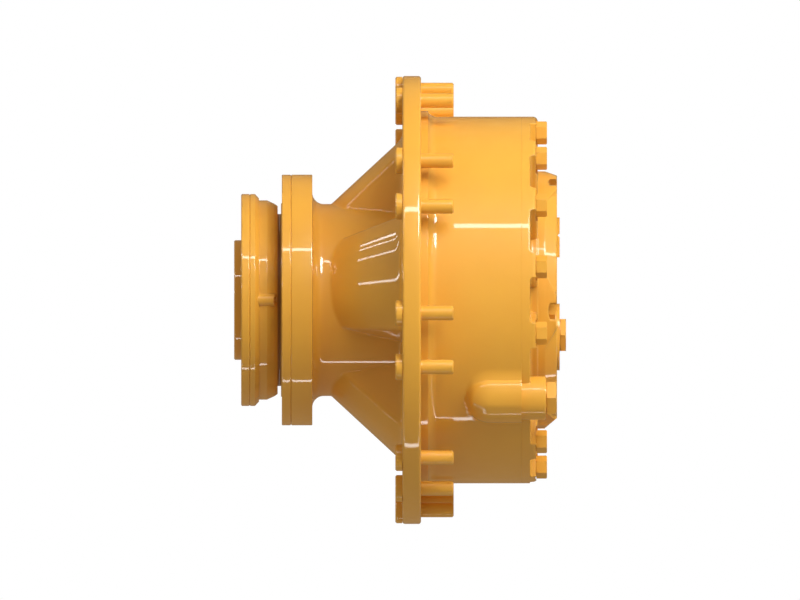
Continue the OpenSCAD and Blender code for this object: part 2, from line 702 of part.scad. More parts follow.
module wheel_hub() {
  cup_x = inner_bearing_x + inner_w / 2 - cup_short;
  stop_x = outer_bearing_x - outer_w / 2 + cup_short;
  color("gold") difference() {
    union() {
      turned(concat(
        [[hub_end_x, 100], [hub_end_x, hub_flange_r - groove_edge],
         [hub_end_x + groove_edge, hub_flange_r], [hub_flange_x - edge, hub_flange_r],
         [hub_flange_x, hub_flange_r - edge]],
        arc(hub_flange_x + neck_fillet, neck_r + neck_fillet, neck_fillet, 180, 270),
        arc(flange_back_x - 8, neck_r + 8, 8, 270, 360),
        arc(flange_back_x + rim_round, wheel_flange_r - rim_round, rim_round, 180, 90),
        arc(-rim_round, wheel_flange_r - rim_round, rim_round, 90, 0),
        [[0, step_r], [step_l, step_r]],
        arc(step_l + 10, drum_r + 10, 10, 187, 270),
        [[drum_l - joint_edge, drum_r], [drum_l, drum_r - joint_edge], [drum_l, 100]]));
      for (i = [0:lobe_count - 1]) rotate([-lobe_angle - 360 / lobe_count * i, 0, 0]) lobe();
      at(boss_angle, boss_at) {
        rod(drum_l - boss_l, drum_l - 0.6 * edge, boss_r);
        translate([drum_l - boss_l, 0, 0]) sphere(r = boss_r, $fn = 64);
      }
    }
    // bearing bores, oil space and drum
    turned(concat(
      [[hub_end_x - 1, 0], [hub_end_x - 1, inner_cup_r], [cup_x, inner_cup_r],
       [cup_x, inner_cup_r - cup_shoulder], [cup_x + 8, inner_cup_r - cup_shoulder - 4],
       [stop_x - 6, outer_cup_r - cup_shoulder], [stop_x, outer_cup_r - cup_shoulder],
       [stop_x, outer_cup_r], [drum_floor_x, outer_cup_r], [drum_floor_x, drum_bore_r - 10]],
      arc(drum_floor_x + 10, drum_bore_r - 10, 10, 180, 90),
      [[drum_l + 1, drum_bore_r], [drum_l + 1, 0]]));
    seal_seat(1);
    around_upright(stud_angles, stud_circle_r) rod(flange_back_x - 1, 1, stud_seat_r);
    around_upright(cover_bolt_angles, cover_circle_r)
      rod(drum_l - cover_bolt_l - 4, drum_l + 1, cover_bolt_r);
    around(2, 0, cover_circle_r) rod(drum_l - dowel_l / 2 - 1.5, drum_l + 1, dowel_r + seat_gap);
    around(seal_screws, 180 / seal_screws, seal_screw_r)
      flat_screw_hole(carrier_x, carrier_screw_l, screw_r);
    at(boss_angle, boss_at) rod(drum_l - 30, drum_l + 1, plug_r);
    // drain passage from the drum into the boss
    at(boss_angle, boss_at) translate([drum_l - 20, 0, 0]) rotate([-90, 0, 0])
      cylinder(h = 40, r = plug_r / 2);
  }
}
module seal_carrier() {
  color("gold") difference() {
    turned([[carrier_x - lip_t, 100], [carrier_x - lip_t, seal_r + 16], [carrier_x, seal_r + 16],
            [carrier_x, hub_flange_r - edge], [carrier_x + edge, hub_flange_r],
            [hub_end_x - groove_edge, hub_flange_r], [hub_end_x, hub_flange_r - groove_edge],
            [hub_end_x, 100]]);
    seal_seat(1);
    rod(carrier_x - 5, hub_end_x + 5, seal_bore_r);
    around(seal_screws, 180 / seal_screws, seal_screw_r)
      flat_screw_hole(carrier_x, carrier_screw_l, screw_r);
  }
}
module seal_carrier_screws() {
  color("dimgray") around(seal_screws, 180 / seal_screws, seal_screw_r)
    flat_screw(carrier_x, carrier_screw_l - 2, screw_r);
}
module turning_seal_ring() {
  color("silver") seal_ring(1);
}
module turning_seal_rubber() {
  color("black") seal_rubber(1);
}
module wheel_studs() {
  head_x = flange_back_x - stud_head_t;
  color("gold") around_upright(stud_angles, stud_circle_r)
    turned([[head_x, 0], [head_x, stud_head_r - 2], [head_x + 2, stud_head_r],
            [flange_back_x, stud_head_r], [flange_back_x, stud_seat_r - seat_gap],
            [-edge, stud_seat_r - seat_gap], [0, stud_r], [stud_reach - 2, stud_r],
            [stud_reach, stud_r - 2], [stud_reach, 0]]);
}
module inner_bearing_cup() {
  color("silver") inner_place() bearing_cup(inner_cup_r, inner_w, inner_pitch_r, inner_roller_r);
}
module outer_bearing_cup() {
  color("silver") outer_place() bearing_cup(outer_cup_r, outer_w, outer_pitch_r, outer_roller_r);
}
module inner_bearing_rollers() {
  color("gainsboro") inner_place() rollers(inner_w, inner_pitch_r, inner_roller_r, -fit_gap, 0);
}
module outer_bearing_rollers() {
  color("gainsboro") outer_place() rollers(outer_w, outer_pitch_r, outer_roller_r, -fit_gap, 0);
}
module inner_bearing_cage() {
  color("peru") inner_place() bearing_cage(inner_w, inner_pitch_r, inner_roller_r);
}
module outer_bearing_cage() {
  color("peru") outer_place() bearing_cage(outer_w, outer_pitch_r, outer_roller_r);
}

// Wedge between two planets, in the plane of the gears
module pillar_outline() {
  difference() {
    intersection() {
      circle(r = pillar_r);
      translate([-pillar_r, -pillar_w]) square([pillar_r - pillar_root_r, 2 * pillar_w]);
    }
    for (s = [-1, 1]) rotate(s * planet_step / 2)
      translate([-planet_at, 0]) circle(r = planet_pitch_r + addendum + 4);
  }
}
module carrier_cover() {
  color("gold") difference() {
    union() {
      difference() {
        turned(concat(
          [[drum_l, 0], [drum_l, drum_r - joint_edge], [drum_l + joint_edge, drum_r]],
          arc(lug_x - lug_round, drum_r - lug_round, lug_round, 90, 0, 6),
          [[lug_x, centre_r], [centre_edge_x, centre_r], [face_x - 1, centre_face_r],
           [face_x, centre_face_r - 1], [face_x, 0]]));
        windows();
        centre_foot();
      }
      // the raised centre stands full beside the carrier bolts
      difference() {
        intersection() {
          around(planet_count, carrier_angle, carrier_circle_r)
            taper(centre_edge_x - 1, face_x - 1, boss_root_r, boss_top_r);
          rod(centre_edge_x - 2, face_x, centre_r - 0.1);
        }
        centre_foot();
      }
      // drain boss
      at(boss_angle, boss_at) {
        rod(drum_l, boss_end_x - edge, cover_boss_r);
        taper(boss_end_x - edge, boss_end_x, cover_boss_r, cover_boss_r - edge);
      }
      fill_pad();
      index_pad();
    }
    cover_inside();
    around(planet_count, carrier_angle, carrier_circle_r) {
      turned([[pocket_x, 0], [pocket_x, pocket_r - 6], [pocket_x + 6, pocket_r],
              [face_x + 1, pocket_r], [face_x + 1, 0]]);
      rod(gear_x - 1, pocket_x + 1, carrier_bolt_r + 0.6);
    }
    around_upright(cover_bolt_angles, cover_circle_r) {
      rod(drum_l - 1, lug_x, cover_bolt_r + 0.5);
      rod(spot_x, lug_x + 1, spot_r);
    }
    around(2, 0, cover_circle_r) rod(drum_l - 1, drum_l + dowel_l / 2 - 0.5, dowel_r + seat_gap);
    at(boss_angle, boss_at) rod(drum_l - 1, boss_end_x + 1, plug_r);
    translate([0, 0, -fill_at]) rod(inside_x - 1, face_x + pad_h + 1, plug_r);
    planet_pin_bores();
  }
  color("gold") carrier_webs();
}
// Everything between the bolt lugs, outside the raised centre, but not at the top
module windows() {
  foot_r = centre_r + 1.5 + centre_fillet;
  difference() {
    turned(concat(
      [[lug_x + 2, drum_r + 5], [lug_x + 2, centre_r + 1.5]],
      arc(window_x + centre_fillet, foot_r, centre_fillet, 270, 180, 5),
      arc(window_x - window_edge, drum_r - window_edge, window_edge, 0, 90, 3),
      [[window_x - window_edge, drum_r + 5]]));
    for (a = cover_bolt_angles) at(a, drum_r + 10) translate([window_x, 0, 0])
      rotate([-90, 0, 0]) linear_extrude(drum_r - centre_r + 20) polygon(lug_outline);
    slab(window_x - 1, lug_x + 3) rotate(90 - place_step / 2) top_sector();
  }
}
// A lug across its length, from its foot up: height and distance from its middle
lug_foot = arc(lug_side_round, lug_w / 2 + lug_side_round, lug_side_round, 188, 270, 5);
lug_edge = concat([[-2, lug_foot[0][1]]], lug_foot,
  arc(lug_h - lug_side_round, lug_w / 2 - lug_side_round, lug_side_round, 90, 0, 5),
  [[lug_h + 3, lug_w / 2 - lug_side_round]]);
lug_outline = concat(lug_edge,
  [for (i = [len(lug_edge) - 1:-1:0]) [lug_edge[i][0], -lug_edge[i][1]]]);
module top_sector() {
  far = 1.1 * drum_r;
  polygon([[0, 0], [far, 0], [far * cos(place_step), far * sin(place_step)]]);
}
// Cuts the flat at the foot of the raised centre, over the lowest bolt
module centre_foot() {
  translate([centre_edge_x - 1, -120, -centre_r]) rotate([0, -flat_slope, 0])
    translate([0, 0, -40]) cube([60, 240, 40]);
}
module fill_pad() {
  for (dz = [0, -6]) translate([0, 0, -fill_at + dz]) rod(face_x - 2, face_x + pad_h, pad_r);
  translate([face_x - 2, -pad_r, -fill_at - 6]) cube([pad_h + 2, 2 * pad_r, 6]);
}
module index_pad() {
  difference() {
    translate([face_x - 2, -14, 64]) cube([pad_h + 2, 28, 60]);
    translate([face_x + 1, -20, 97]) rotate([0, 45, 0]) cube([9, 40, 9]);
  }
}
module cover_inside() {
  turned([[drum_l - spigot_in_l - 1, 0], [drum_l - spigot_in_l - 1, drum_bore_r - spigot_in_t],
          [drum_l - 1, drum_bore_r - spigot_in_t], [drum_l - 1, centre_r - cover_wall + 4],
          [drum_l + 3, centre_r - cover_wall], [inside_x - 8, centre_r - cover_wall],
          [inside_x, centre_r - cover_wall - 8], [inside_x, 0]]);
}
module planet_pin_bores() {
  around(planet_count, planet_angle, planet_at) rod(boss_face_x - 1, pin_end_x + 1, pin_r + seat_gap);
}
// Register, planet bosses, pillars and thrust boss inside the cover
module carrier_webs() {
  difference() {
    union() {
      difference() {
        rod(drum_l - spigot_in_l, drum_l, spigot_in_r);
        rod(drum_l - spigot_in_l - 1, drum_l + 1, drum_bore_r - spigot_in_t);
      }
      around(planet_count, planet_angle, planet_at) rod(boss_face_x, inside_x + 2, pin_r + 20);
      slab(plate_gear_x + plate_t, inside_x + 2)
        for (k = [0:planet_count - 1])
          rotate(-(carrier_angle + planet_step * k)) pillar_outline();
      rod(shaft_tip_x + 1 + thrust_t, inside_x + 2, 36);
    }
    planet_pin_bores();
    around(planet_count, carrier_angle, carrier_circle_r)
      rod(plate_gear_x, pocket_x + 1, carrier_bolt_r + 0.6);
    ring(drum_l - 6.2, drum_l - 1.8, drum_bore_r - 4.3, drum_bore_r + 1);
    rod(shaft_tip_x, shaft_tip_x + 1 + thrust_t + 4, 12 + seat_gap);
    translate([0, 0, -fill_at]) rod(inside_x - 1, face_x, plug_r);
  }
}
module cover_bolts() {
  color("gold") around_upright(cover_bolt_angles, cover_circle_r) {
    rod(drum_l - cover_bolt_l, spot_x, cover_bolt_r - seat_gap);
    rod(spot_x, spot_x + 1, cover_bolt_r * 1.45);
    hex_head(spot_x + 1, cover_bolt_head_t, hex_flats(cover_bolt_r));
  }
}
module cover_dowels() {
  color("silver") around(2, 0, cover_circle_r)
    rod(drum_l - dowel_l / 2 - 1, drum_l + dowel_l / 2 - 1, dowel_r);
}
module cover_o_ring() {
  color("black") along_x(drum_l - 4) rotate_extrude()
    translate([drum_bore_r - o_ring_r - 0.05, 0]) circle(r = o_ring_r);
}
// Threaded plug with a flat of its hexagon upwards
module plug(x0, t, l) {
  rotate([30, 0, 0]) hex_head(x0, t, plug_flats);
  rod(x0 - l, x0, plug_r - seat_gap);
}
module fill_plug() {
  color("gold") translate([0, 0, -fill_at]) plug(face_x + pad_h + 1.5, 8, 26);
}
module fill_plug_washer() {
  color("peru") translate([0, 0, -fill_at])
    ring(face_x + pad_h, face_x + pad_h + 1.5, plug_r + seat_gap, plug_flats / 2);
}
module drain_plug() {
  color("gold") translate([0, -boss_at * cos(boss_angle), boss_at * sin(boss_angle)])
    plug(boss_end_x + 1.5, 14.4, 30);
}
module drain_plug_washer() {
  color("peru") at(boss_angle, boss_at)
    ring(boss_end_x, boss_end_x + 1.5, plug_r + seat_gap, plug_flats / 2);
}
module carrier_plate() {
  x1 = plate_gear_x + plate_t;
  color("lightgray") difference() {
    turned([[plate_gear_x, plate_bore_r], [plate_gear_x, plate_r - 2], [plate_gear_x + 2, plate_r],
            [x1, plate_r], [x1, plate_bore_r]]);
    around(planet_count, planet_angle, planet_at) rod(plate_gear_x - 1, x1 + 1, pin_r + seat_gap);
    around(planet_count, carrier_angle, carrier_circle_r) rod(plate_gear_x - 1, x1 + 1, carrier_bolt_r);
    around(planet_count, planet_angle, 0) lock_pin(seat_gap, 5);
  }
}
// Radial lock pin from the plate's rim into the planet pin
module lock_pin(gap, extra) {
  translate([plate_gear_x + plate_t / 2, -planet_at - pin_r + 5, 0]) rotate([90, 0, 0])
    cylinder(h = plate_r - planet_at - pin_r + 4 + extra, r = 3 + gap);
}
module pin_lock_pins() {
  color("dimgray") around(planet_count, planet_angle, 0) lock_pin(0, 0);
}
module planet_pins() {
  color("lightgray") difference() {
    around(planet_count, planet_angle, planet_at) {
      rod(plate_gear_x, pin_end_x - 1.5, pin_r);
      taper(pin_end_x - 1.5, pin_end_x, pin_r, pin_r - 1.5);
    }
    around(planet_count, planet_angle, 0) lock_pin(seat_gap, 5);
  }
}
module planet_washers() {
  color("peru") around(planet_count, planet_angle, planet_at)
    for (x = [plate_gear_x + plate_t + face_gap / 2, boss_face_x - washer_t - face_gap / 2])
      ring(x, x + washer_t, pin_r + 0.3, pin_r + 18);
}
module carrier_bolts() {
  x0 = pocket_x + bolt_washer_t;
  angles = [for (k = [0:planet_count - 1]) carrier_angle + planet_step * k];
  color("gold") around_upright(angles, carrier_circle_r) {
    hex_head(x0, 10.5, hex_flats(carrier_bolt_r));
    rod(plate_gear_x + 1, x0, carrier_bolt_r - seat_gap);
  }
}
module carrier_bolt_washers() {
  color("gold") around(planet_count, carrier_angle, carrier_circle_r)
    ring(pocket_x, pocket_x + bolt_washer_t, carrier_bolt_r + 0.3, 2.2 * carrier_bolt_r);
}
module sun_thrust_plate() {
  x0 = shaft_tip_x + 1;
  color("peru") {
    rod(x0, x0 + thrust_t, thrust_r);
    rod(x0 + thrust_t - 0.1, x0 + thrust_t + 3.5, 12);
  }
}

// Sun and shaft

module axle_shaft() {
  color("lightgray") difference() {
    union() {
      turned([[shaft_end_x, 0], [shaft_end_x, shaft_r - 1.5], [shaft_end_x + 1.5, shaft_r],
              [shaft_shoulder_x - 2, shaft_r], [shaft_shoulder_x, shaft_r],
              [shaft_shoulder_x, shaft_spline_r - shaft_spline_depth],
              [shaft_tip_x - 2, shaft_spline_r - shaft_spline_depth],
              [shaft_tip_x, shaft_spline_r - shaft_spline_depth - 2], [shaft_tip_x, 0]]);
      slab(shaft_shoulder_x, shaft_tip_x - 2)
        polygon(spline_points(shaft_spline_teeth, shaft_spline_r - shaft_spline_depth,
                              shaft_spline_r, 0));
    }
    slab(shaft_end_x - 1, shaft_end_x + socket_l)
      polygon(spline_points(shaft_spline_teeth, socket_r - 3, socket_r, 0));
    ring(gear_x + gear_w + 0.6, gear_x + gear_w + 0.8 + snap_t,
         shaft_spline_r - shaft_spline_depth - 1.5, shaft_spline_r + 5);
  }
}
module sun_gear() {
  color("lightgray") difference() {
    slab(gear_x, gear_x + gear_w)
      polygon(gear_points(sun_teeth, sun_pitch_r, sun_pitch_r - dedendum, sun_pitch_r + addendum,
                          flank_gap, sun_phase));
    slab(gear_x - 1, gear_x + gear_w + 1)
      polygon(spline_points(shaft_spline_teeth, shaft_spline_r - shaft_spline_depth + fit_gap,
                            shaft_spline_r + 0.4, -0.15));
  }
}
module sun_snap_ring() {
  color("dimgray") split_ring(gear_x + gear_w + 0.7, shaft_spline_r - shaft_spline_depth - 1.4,
                              shaft_spline_r + 3, 10);
}
module planet_gear(k) {
  color("lightgray") at(planet_angle + planet_step * (k - 1), planet_at)
    rotate([planet_angle + planet_step * (k - 1), 0, 0]) difference() {
      slab(gear_x, gear_x + gear_w)
        polygon(gear_points(planet_teeth, planet_pitch_r, planet_pitch_r - dedendum,
                            planet_pitch_r + addendum, flank_gap, planet_phase(k - 1)));
      rod(gear_x - 1, gear_x + gear_w + 1, bush_r);
    }
}
module planet_bush(k) {
  color("peru") at(planet_angle + planet_step * (k - 1), planet_at)
    ring(gear_x + 0.5, gear_x + gear_w - 0.5, pin_r + bush_gap, bush_r - seat_gap);
}

spindle();
end_plate();
end_plate_screws();
wheel_hub();
seal_carrier();
seal_carrier_screws();
wheel_studs();
carrier_cover();
cover_bolts();
cover_dowels();
cover_o_ring();
fill_plug();
fill_plug_washer();
drain_plug();
drain_plug_washer();
carrier_plate();
carrier_bolts();
carrier_bolt_washers();
planet_pins();
pin_lock_pins();
planet_washers();
inner_bearing_cup();
inner_bearing_cone();
inner_bearing_rollers();
inner_bearing_cage();
outer_bearing_cup();
outer_bearing_cone();
outer_bearing_rollers();
outer_bearing_cage();
bearing_nut();
nut_lock_plate();
nut_lock_screws();
ring_gear();
ring_gear_hub();
ring_gear_snap_rings();
spindle_snap_ring();
fixed_seal_ring();
fixed_seal_rubber();
turning_seal_ring();
turning_seal_rubber();
axle_shaft();
sun_gear();
sun_snap_ring();
sun_thrust_plate();
shaft_seal();
shaft_bushes();
planet_gear(1);  // planet_gear_1
planet_gear(2);  // planet_gear_2
planet_gear(3);  // planet_gear_3
planet_gear(4);  // planet_gear_4
planet_gear(5);  // planet_gear_5
planet_bush(1);  // planet_bush_1
planet_bush(2);  // planet_bush_2
planet_bush(3);  // planet_bush_3
planet_bush(4);  // planet_bush_4
planet_bush(5);  // planet_bush_5
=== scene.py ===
import json
import math
import bmesh
import bpy
import numpy as np
from mathutils import Matrix, Vector


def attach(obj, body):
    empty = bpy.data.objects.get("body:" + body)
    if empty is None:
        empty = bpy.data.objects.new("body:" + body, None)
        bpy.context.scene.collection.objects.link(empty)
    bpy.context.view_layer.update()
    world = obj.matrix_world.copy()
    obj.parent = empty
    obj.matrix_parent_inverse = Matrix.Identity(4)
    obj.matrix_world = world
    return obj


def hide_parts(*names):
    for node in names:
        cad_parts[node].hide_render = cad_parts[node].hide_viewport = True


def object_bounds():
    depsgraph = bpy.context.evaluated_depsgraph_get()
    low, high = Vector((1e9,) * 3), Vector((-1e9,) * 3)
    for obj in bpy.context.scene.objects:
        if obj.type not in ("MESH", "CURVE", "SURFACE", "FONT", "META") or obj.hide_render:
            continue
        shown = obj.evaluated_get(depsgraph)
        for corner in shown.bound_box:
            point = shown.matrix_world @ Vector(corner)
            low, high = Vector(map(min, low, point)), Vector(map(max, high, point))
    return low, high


# Final drive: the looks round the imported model. Metres, +X is the turning axis.
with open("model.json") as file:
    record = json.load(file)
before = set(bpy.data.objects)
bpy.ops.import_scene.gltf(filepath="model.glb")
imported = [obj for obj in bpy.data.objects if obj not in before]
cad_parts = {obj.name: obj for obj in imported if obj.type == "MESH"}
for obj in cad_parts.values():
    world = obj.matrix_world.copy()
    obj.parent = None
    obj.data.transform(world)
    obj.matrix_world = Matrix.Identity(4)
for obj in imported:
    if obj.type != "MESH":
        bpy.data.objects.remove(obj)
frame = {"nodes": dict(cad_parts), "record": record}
cadLow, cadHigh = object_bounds()
nodes = frame["nodes"]
scene = bpy.context.scene
print("frame loaded,", len(nodes), "nodes")


# the first five make the nodes of the sky and the finishes
def newFinish(name):
    mat = bpy.data.materials.new(name)
    mat.use_nodes = True
    tree = mat.node_tree
    return mat, tree, tree.nodes["Principled BSDF"]


def grain(tree, where, scale, detail=3):
    noise = tree.nodes.new("ShaderNodeTexNoise")
    noise.inputs["Scale"].default_value = scale
    noise.inputs["Detail"].default_value = detail
    tree.links.new(where, noise.inputs["Vector"])
    return noise.outputs["Fac"]


def spread(tree, value, low, high, start=0.3, end=0.7):
    # start and end fit the grain, which lies mostly between them
    ramp = tree.nodes.new("ShaderNodeMapRange")
    ramp.inputs["From Min"].default_value = start
    ramp.inputs["From Max"].default_value = end
    ramp.inputs["To Min"].default_value = low
    ramp.inputs["To Max"].default_value = high
    tree.links.new(value, ramp.inputs["Value"])
    return ramp.outputs["Result"]


def blendValue(tree, factor, first, last):
    mix = tree.nodes.new("ShaderNodeMapRange")
    mix.inputs["To Max"].default_value = last
    tree.links.new(first, mix.inputs["To Min"])
    tree.links.new(factor, mix.inputs["Value"])
    return mix.outputs["Result"]


def blendColour(tree, factor, first, last):
    mix = tree.nodes.new("ShaderNodeMix")
    mix.data_type = "RGBA"
    tree.links.new(factor, mix.inputs["Factor"])
    for socket, value in ((mix.inputs[6], first), (mix.inputs[7], last)):
        if isinstance(value, tuple):
            socket.default_value = value
        else:
            tree.links.new(value, socket)
    return mix.outputs[2]


studio = {
    "viewWidth": 1.2,          # what the camera takes in, across
    "lookAt": (-0.0315, 0, 0),
    "cameraAway": 3,
    "floorDrop": 0.0005,       # below the wheel flange
    "floorSize": 30,
    "floorColour": (0.86, 0.86, 0.86, 1),
    "floorRoughness": 0.9,
    "skyForCamera": 1.0,
    "skyInFront": 0.385,       # the sky's light on the camera's side and behind the drive
    "skyBehind": 1.07,
    "skyTurn": (-0.1, 0.9),    # Y of the direction, as the one becomes the other
    "skyInGloss": 0.30,
    "skyGlossColour": (1, 0.62, 0.3, 1),   # warm, as a yellow casting meets it in a workshop
}

# Each light: elevation and turn from the camera's side towards +X in degrees, distance, height,
# length, power, and whether it lights the paint or only shows as a line in its gloss.
# The bands are long, so that their lines run on over bevels and edges.
lights = {
    "softKey": dict(up=37.5, turn=33.5, away=3, tall=2.2, wide=2.2, power=100, shows="light"),
    "backKey": dict(up=22, turn=172, away=4, tall=2, wide=2, power=45, shows="light"),
    "highBand": dict(up=47.2, turn=0, away=12, tall=0.56, wide=64, power=1390, shows="gloss"),
    "lowBand": dict(up=-80, turn=0, away=12, tall=0.48, wide=64, power=900, shows="gloss"),
    "keyGlint": dict(up=41, turn=24, away=3, tall=1.05, wide=0.95, power=75, shows="gloss"),
    "leftFill": dict(up=35, turn=-50, away=3, tall=2.2, wide=2.2, power=7, shows="light"),
}

# thin bands beyond the spindle's end, which draw the lines on the lobes
lobeBands = {
    "upAndTall": ((7, 0.09), (22.5, 0.07), (31, 0.07), (36, 0.16)),
    "turn": -90, "away": 4, "wide": 2.4,
    "powerPerHeight": 75,
}
for number, (up, tall) in enumerate(lobeBands["upAndTall"], 1):
    lights["lobeBand" + str(number)] = dict(
        up=up, turn=lobeBands["turn"], away=lobeBands["away"], tall=tall, wide=lobeBands["wide"],
        power=lobeBands["powerPerHeight"] * tall, shows="gloss")


def addCamera():
    data = bpy.data.cameras.new("camera")
    data.type = "ORTHO"
    data.ortho_scale = studio["viewWidth"]
    camera = bpy.data.objects.new("camera", data)
    x, y, z = studio["lookAt"]
    camera.location = (x, y - studio["cameraAway"], z)
    camera.rotation_euler = (math.radians(90), 0, 0)
    scene.collection.objects.link(camera)
    scene.camera = camera


def addLight(name, up, turn, away, tall, wide, power, shows):
    data = bpy.data.lights.new(name, "AREA")
    data.shape = "RECTANGLE"
    data.size, data.size_y = wide, tall
    data.energy = power
    lamp = bpy.data.objects.new(name, data)
    a, b = math.radians(up), math.radians(turn)
    towards = Vector((math.sin(b) * math.cos(a), -math.cos(b) * math.cos(a), math.sin(a)))
    lamp.location = towards * away
    lamp.rotation_mode = "QUATERNION"
    lamp.rotation_quaternion = towards.to_track_quat("Z", "Y")
    lamp.visible_camera = False
    lamp.visible_glossy = shows == "gloss"
    lamp.visible_diffuse = shows == "light"
    scene.collection.objects.link(lamp)


def addFloor():
    half = studio["floorSize"] / 2
    z = cadLow.z - studio["floorDrop"]
    mesh = bpy.data.meshes.new("floor")
    mesh.from_pydata([(-half, -half, z), (half, -half, z), (half, half, z), (-half, half, z)],
                     [], [(0, 1, 2, 3)])
    floor = bpy.data.objects.new("floor", mesh)
    scene.collection.objects.link(floor)
    floor.visible_shadow = False
    floor.visible_glossy = False
    floor.visible_diffuse = False
    mat, _, bsdf = newFinish("floorPaper")
    bsdf.inputs["Base Color"].default_value = studio["floorColour"]
    bsdf.inputs["Roughness"].default_value = studio["floorRoughness"]
    mesh.materials.append(mat)


def addSky():
    # plain white for the camera, dimmer in front of the drive than behind it, warm in the gloss
    world = bpy.data.worlds.new("sky")
    scene.world = world
    world.use_nodes = True
    tree = world.node_tree
    back = tree.nodes["Background"]
    path = tree.nodes.new("ShaderNodeLightPath")
    place = tree.nodes.new("ShaderNodeTexCoord")
    split = tree.nodes.new("ShaderNodeSeparateXYZ")
    tree.links.new(place.outputs["Generated"], split.inputs["Vector"])
    glow = spread(tree, split.outputs["Y"], studio["skyInFront"], studio["skyBehind"],
                  *studio["skyTurn"])
    glow.node.interpolation_type = "SMOOTHSTEP"
    inGloss = blendValue(tree, path.outputs["Is Glossy Ray"], glow, studio["skyInGloss"])
    shown = blendValue(tree, path.outputs["Is Camera Ray"], inGloss, studio["skyForCamera"])
    tint = blendColour(tree, path.outputs["Is Glossy Ray"], (1, 1, 1, 1), studio["skyGlossColour"])
    tree.links.new(shown, back.inputs["Strength"])
    tree.links.new(tint, back.inputs["Color"])


addCamera()
addFloor()
addSky()
for name, values in lights.items():
    addLight(name, **values)
scene.view_settings.view_transform = "Standard"
print("studio set")


# The paint, then the bare metals and the rubber. Sizes in metres, grain in cells per metre.
paint = {
    "colour": (0.80, 0.394, 0.046, 1),
    "deeper": (0.77, 0.361, 0.040, 1),
    "thin": (0.86, 0.48, 0.10, 1),     # over the edges
    "thinShare": 0.5,                  # how much of it shows there
    "edgeBend": (0.8, 0.97),           # cosine of the edge's bend, from all of it to none
    "cloudGrain": 7, "patchGrain": 45, "roughGrain": 30, "castGrain": 700,
    "patchRange": (0.4, 0.6),
    "castDepth": 0.00012, "hardwareDepth": 0.00002,
    "roughLow": 0.40, "roughHigh": 0.52,
    "coat": 1.0, "coatRoughness": 0.05, "underCoatShine": 0.15,
    "edgeOnCasting": 0.0014, "edgeOnHardware": 0.0006, "edgeOnCover": 0.003,
    "crispEdge": 0.0002,               # up to the joint between cover and drum
    "coverJoint": 0.157, "jointFade": 0.001,
    "edgeSamples": 6,
}

# colours as made and as worn, the turning marks' grain and depth, and for the seal's rings the
# radius from which they have caught the paint
metals = {
    "dark_steel": dict(colour=(0.035, 0.035, 0.038, 1), worn=(0.11, 0.11, 0.11, 1),
                       metal=1, roughLow=0.34, roughHigh=0.5, marks=400, depth=0.00003),
    "ground_steel": dict(colour=(0.55, 0.56, 0.58, 1), worn=(0.43, 0.44, 0.46, 1),
                         metal=1, roughLow=0.16, roughHigh=0.3, marks=1500, depth=0.00001),
    "pressed_steel": dict(colour=(0.38, 0.37, 0.35, 1), worn=(0.27, 0.26, 0.25, 1),
                          metal=1, roughLow=0.32, roughHigh=0.46, marks=300, depth=0.00002),
    "gear_steel": dict(colour=(0.36, 0.37, 0.39, 1), worn=(0.24, 0.25, 0.27, 1),
                       metal=1, roughLow=0.24, roughHigh=0.4, marks=900, depth=0.00002),
    "seal_iron": dict(colour=(0.22, 0.22, 0.23, 1), worn=(0.14, 0.14, 0.15, 1),
                      metal=1, roughLow=0.3, roughHigh=0.5, marks=500, depth=0.00003,
                      oversprayed=0.1275),
    "seal_rubber": dict(colour=(0.012, 0.012, 0.012, 1), worn=(0.03, 0.03, 0.03, 1),
                        metal=0, roughLow=0.55, roughHigh=0.75, marks=250, depth=0.00004),
    "bronze": dict(colour=(0.55, 0.34, 0.12, 1), worn=(0.40, 0.22, 0.08, 1),
                   metal=1, roughLow=0.25, roughHigh=0.42, marks=800, depth=0.00002),
}


def roundedEdge(tree, radius, where, jointAt):
    # where jointAt is given, the edges before it on the axis stay crisp
    bevel = tree.nodes.new("ShaderNodeBevel")
    bevel.samples = paint["edgeSamples"]
    bevel.inputs["Radius"].default_value = radius
    if jointAt:
        split = tree.nodes.new("ShaderNodeSeparateXYZ")
        tree.links.new(where, split.inputs["Vector"])
        wide = spread(tree, split.outputs["X"], paint["crispEdge"], radius,
                      jointAt, jointAt + paint["jointFade"])
        tree.links.new(wide, bevel.inputs["Radius"])
    return bevel.outputs["Normal"]


def bumped(tree, height, depth, normal=None):
    bump = tree.nodes.new("ShaderNodeBump")
    bump.inputs["Distance"].default_value = depth
    bump.inputs["Strength"].default_value = 1
    tree.links.new(height, bump.inputs["Height"])
    if normal:
        tree.links.new(normal, bump.inputs["Normal"])
    return bump.outputs["Normal"]


